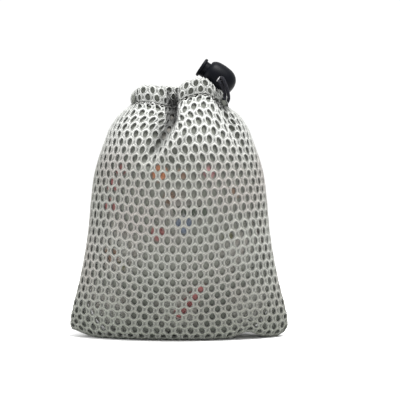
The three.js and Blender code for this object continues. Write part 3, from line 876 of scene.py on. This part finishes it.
def make_cloth(side):
    surface, folds = panel_surface(side)
    normals = face_out(surface, np.array([0, 0, 90.0]))
    panel = mesh_net(f"{side}_mesh", surface, normals, folds, ROWS, COLUMNS)
    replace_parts(panel, f"{side}_panel")
    bend_with_mouth(panel)
    backing = backing_sheet(f"{side}_backing", surface, normals, THICKNESS + 0.15)
    bend_with_mouth(backing)
    return surface, folds


def make_hem(side, top_row, top_folds):
    surface = hem_surface(side, top_row)
    folds = np.broadcast_to(top_folds, (*surface.shape[:2], 1))
    normals = face_out(surface, surface.mean(axis=0))
    hem = mesh_net(f"{side}_hem", surface, normals, folds, HEM_ROWS, COLUMNS, closed=True)
    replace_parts(hem, f"tunnel_{side}")
    bend_with_mouth(hem)
    backing = backing_sheet(f"{side}_hem_backing", surface, normals, THICKNESS + 0.1)
    bend_with_mouth(backing)
    return surface


def make_drawcord(side, hem):
    """Half of the drawcord, along the middle of the folded hem."""
    middle = hem.mean(axis=0)
    path = spaced(smoothed_path(middle[6:-16], 12), 110)
    cord = braided(f"drawcord_{side}_braid", path)
    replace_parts(cord, f"drawcord_{side}")
    bend_with_mouth(cord)


def make_stitching(side, surface):
    """Lockstitches in the crease under the hem."""
    normals = face_out(surface, np.array([0, 0, 90.0]))
    line = surface[-1] + normals[-1] * 0.15
    along = distance_along(line)
    points, faces = [], []
    sides = 6
    steps = 6
    angle = np.linspace(0, 2 * math.pi, sides, endpoint=False)
    for start in np.arange(6, along[-1] - 10, STITCH_LENGTH + STITCH_GAP):
        where = np.linspace(start, start + STITCH_LENGTH, steps)
        path = np.stack([np.interp(where, along, line[:, k]) for k in range(3)], axis=1)
        arch = np.sin(np.linspace(0, math.pi, steps)) ** 0.5
        _, across, up = frames_along(path)
        radius = THREAD_DIAMETER / 2 * (0.35 + 0.65 * arch)[:, None, None]
        faces += tube_faces(steps, sides, first=len(points))
        points.extend((path[:, None] + radius * circles(angle, across, up)).reshape(-1, 3))
    stitches = turn_outwards(mesh_object(f"stitches_{side}", points, faces, THREAD))
    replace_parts(stitches, f"stitching_{side}")
    bend_with_mouth(stitches)


def overlocked(name, path, replaced):
    """Edge where the two panels meet, bound by turns of thread."""
    seam = braided(name, path, diameter=SEAM_DIAMETER, sides=16, strands=2, lay=2.4)
    seam.data.materials.clear()
    seam.data.materials.append(BINDING)
    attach(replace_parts(seam, replaced), "bag")


def make_seams():
    height = np.linspace(7, 158, 300)
    for name, direction in (("left", -1), ("right", 1)):
        reach = lookup(SIDE_OUTLINE, height) - SEAM_INSET
        path = np.stack([direction * reach, np.zeros_like(height), height], axis=1)
        overlocked(f"side_seam_{name}_overlock", path, f"side_seam_{name}")
    x = np.linspace(-72, 72, 300)
    path = np.stack([x, np.zeros_like(x), bottom_edge(x) + SEAM_DIAMETER / 2 + 0.2], axis=1)
    overlocked("bottom_seam_overlock", path, "bottom_seam")


make_seams()
for side in ("front", "back"):
    panel_points, panel_folds = make_cloth(side)
    hem_points = make_hem(side, panel_points[-1], panel_folds[-1])
    make_drawcord(side, hem_points)
    make_stitching(side, panel_points)


# ------------------------ balls
def dimpled_ball():
    """Mesh of a ball about its own middle, with dimples on a spiral lattice."""
    work = bmesh.new()
    bmesh.ops.create_icosphere(work, subdivisions=6, radius=1)
    mesh = bpy.data.meshes.new("ball")
    work.to_mesh(mesh)
    work.free()
    number = np.arange(DIMPLES) + 0.5
    height = 1 - 2 * number / DIMPLES
    turn = math.pi * (3 - math.sqrt(5)) * number
    flat = np.sqrt(1 - height**2)
    lattice = np.stack([flat * np.cos(turn), flat * np.sin(turn), height], axis=1)
    directions = np.array([v.co for v in mesh.vertices])
    angle = np.arccos(np.clip((directions @ lattice.T).max(axis=1), -1, 1))
    bowl = np.clip(1 - (angle / DIMPLE_ANGLE) ** 2, 0, 1)
    points = directions * (BALL_RADIUS - DIMPLE_DEPTH * bowl)[:, None] * MM
    mesh.vertices.foreach_set("co", points.ravel())
    mesh.update()
    mesh.shade_smooth()
    return mesh


def make_balls():
    shape = dimpled_ball()
    for number, centre in enumerate(BALLS, start=1):
        marks = [(place, radius, INKS[ink]) for place, radius, ink in MARKS.get(number, [])]
        ball = bpy.data.objects.new(f"dimpled_ball_{number:02d}", shape.copy())
        ball.data.materials.append(ball_material(f"ball_cover_{number:02d}", marks))
        ball.location = Vector(centre) * MM
        bpy.context.scene.collection.objects.link(ball)
        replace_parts(ball, f"golf_ball_{number:02d}")
        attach(ball, "bag")


make_balls()


# ------------------------ cord lock
def rounded(outline, spacing=0.35):
    """Outline [along, radius] as a smooth curve."""
    count = max(4, int(length_of(np.array(outline, float)) / spacing))
    return curve_through([[along, 0, radius] for along, radius in outline], count)[:, [0, 2]].tolist()


def to_lock(points):
    """Points about the lock's axis, as [along, across, up], in their place on the bag."""
    tilt = math.radians(LOCK_TILT)
    along = np.array([math.cos(tilt), 0, -math.sin(tilt)])
    up = np.array([math.sin(tilt), 0, math.cos(tilt)])
    points = np.asarray(points, float)
    return LOCK_CENTRE + points[:, :1] * along + points[:, 1:2] * [0, 1, 0] + points[:, 2:] * up


def turned(name, outline):
    """Solid of revolution about the lock's axis. The outline's first and last points are on the axis."""
    angle = np.linspace(0, 2 * math.pi, TURN_STEPS, endpoint=False)
    rings = [[[along, radius * math.cos(a), radius * math.sin(a)] for a in angle]
             for along, radius in outline[1:-1]]
    points = [*np.concatenate(rings), [outline[0][0], 0, 0], [outline[-1][0], 0, 0]]
    faces = grid_faces(len(rings), TURN_STEPS, closed_columns=True)
    first, last = len(points) - 2, len(points) - 1
    bottom = (len(rings) - 1) * TURN_STEPS
    for k in range(TURN_STEPS):
        following = (k + 1) % TURN_STEPS
        faces += [(first, following, k), (last, bottom + k, bottom + following)]
    return turn_outwards(mesh_object(name, to_lock(points), faces, LOCK))


def slot_cutter(width, length, shift):
    """Long round-ended bar through the lock, from front to back."""
    half = length / 2 - width / 2
    arc = np.linspace(-math.pi / 2, math.pi / 2, 13)
    end = np.stack([width / 2 * np.sin(arc), half + width / 2 * np.cos(arc)], axis=1)
    outline = np.concatenate([end, -end]) + [shift, 0]
    points = [[x, y, z] for y in (-SLOT_CUT_DEPTH, SLOT_CUT_DEPTH) for x, z in outline]
    count = len(outline)
    faces = [tuple(range(count)), tuple(range(2 * count - 1, count - 1, -1))]
    faces += [(k, count + k, count + (k + 1) % count, (k + 1) % count) for k in range(count)]
    return turn_outwards(mesh_object("slot_cutter", to_lock(points), faces, LOCK))


def cut(obj, cutter):
    """Takes the cutter away from the object, and removes it."""
    modifier = obj.modifiers.new("cut", "BOOLEAN")
    modifier.object = cutter
    modifier.solver = "EXACT"
    done = bpy.data.meshes.new_from_object(obj.evaluated_get(bpy.context.evaluated_depsgraph_get()))
    obj.modifiers.clear()
    obj.data = done
    bpy.data.objects.remove(cutter)
    done.shade_smooth()
    done.set_sharp_from_angle(angle=math.radians(SHARP_EDGE))


def make_lock():
    shell = rounded([[BODY_BACK, BORE_RADIUS + 0.5], [BODY_BACK + 0.15, BORE_RADIUS + 1.3],
                     [BODY_BACK + 1, 8.5], [BODY_BACK + 3, 9.7], [-5, LOCK_RADIUS], [0.5, LOCK_RADIUS],
                     [4.8, 9.7], [8, 8], [10, 5.8], [11.1, 3.2], [11.5, 0]])
    bore = [[BORE_FLOOR, 0], [BORE_FLOOR, BORE_RADIUS - 0.6], [BORE_FLOOR - 0.6, BORE_RADIUS],
            [BODY_BACK + 0.3, BORE_RADIUS]]
    body = turned("lock_body_moulding", bore + shell)
    cut(body, slot_cutter(SLOT_WIDTH, SLOT_LENGTH, 0))
    cap = rounded([[BUTTON_BACK + 0.5, 0], [BUTTON_BACK + 0.35, 3], [BUTTON_BACK, 5.2],
                   [BUTTON_BACK + 0.25, BUTTON_RADIUS - 0.35], [BUTTON_BACK + 0.9, BUTTON_RADIUS],
                   [BUTTON_FACE - 0.5, BUTTON_RADIUS], [BUTTON_FACE, BUTTON_RADIUS - 0.4]])
    plunger = [[BUTTON_FACE, PLUNGER_RADIUS], [PLUNGER_END - 0.4, PLUNGER_RADIUS],
               [PLUNGER_END, PLUNGER_RADIUS - 0.4], [PLUNGER_END, 0]]
    button = turned("lock_button_moulding", cap + plunger)
    cut(button, slot_cutter(SLOT_WIDTH + BUTTON_TRAVEL, SLOT_LENGTH, -BUTTON_TRAVEL / 2))
    for piece, body_node, rides_on in ((body, "lock_body", "lock"), (button, "lock_button", "button")):
        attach(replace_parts(piece, body_node), rides_on)


def make_spring():
    """Coil spring between the plunger and the bore's floor."""
    start = PLUNGER_END + SPRING_GAP + SPRING_WIRE / 2
    end = BORE_FLOOR - SPRING_GAP - SPRING_WIRE / 2
    turn = np.linspace(0, 2 * math.pi * SPRING_TURNS, 160)
    along = start + (end - start) * turn / turn[-1]
    path = to_lock(np.stack([along, SPRING_RADIUS * np.cos(turn), SPRING_RADIUS * np.sin(turn)], axis=1))
    _, across, up = frames_along(path)
    sides = 10
    angle = np.linspace(0, 2 * math.pi, sides, endpoint=False)
    points = path[:, None] + SPRING_WIRE / 2 * circles(angle, across, up)
    spring = mesh_object("lock_spring_wire", points.reshape(-1, 3), tube_faces(len(path), sides), STEEL)
    turn_outwards(spring)
    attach(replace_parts(spring, "lock_spring"), "lock")
    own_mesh(spring)


make_lock()
make_spring()


# ------------------------ studio
def make_studio():
    half = 12.0
    floor_mesh = bpy.data.meshes.new("floor")
    corners = [(-half, -half, 0), (half, -half, 0), (half, half, 0), (-half, half, 0)]
    floor_mesh.from_pydata(corners, [], [(0, 1, 2, 3)])
    floor_material, _, _ = new_material("floor", (0.98, 0.98, 0.98), 1.0)
    floor_mesh.materials.append(floor_material)
    floor = bpy.data.objects.new("floor", floor_mesh)
    bpy.context.scene.collection.objects.link(floor)
    world = bpy.data.worlds.new("studio")
    world.use_nodes = True
    world.node_tree.nodes["Background"].inputs["Color"].default_value = (1, 1, 1, 1)
    world.node_tree.nodes["Background"].inputs["Strength"].default_value = 1.06
    bpy.context.scene.world = world
    for name, place, size, power in (
            ("top", (0.17, -0.2, 0.93), 0.35, 15.5), ("front", (-0.9, -0.35, 0.4), 0.4, 3.0)):
        data = bpy.data.lights.new(name, "AREA")
        data.size = size
        data.energy = power
        light = bpy.data.objects.new(name, data)
        light.location = place
        light.rotation_euler = (Vector((0, 0, 0.1)) - light.location).to_track_quat("-Z", "Y").to_euler()
        bpy.context.scene.collection.objects.link(light)
    bpy.context.scene.view_settings.view_transform = "Standard"


make_studio()
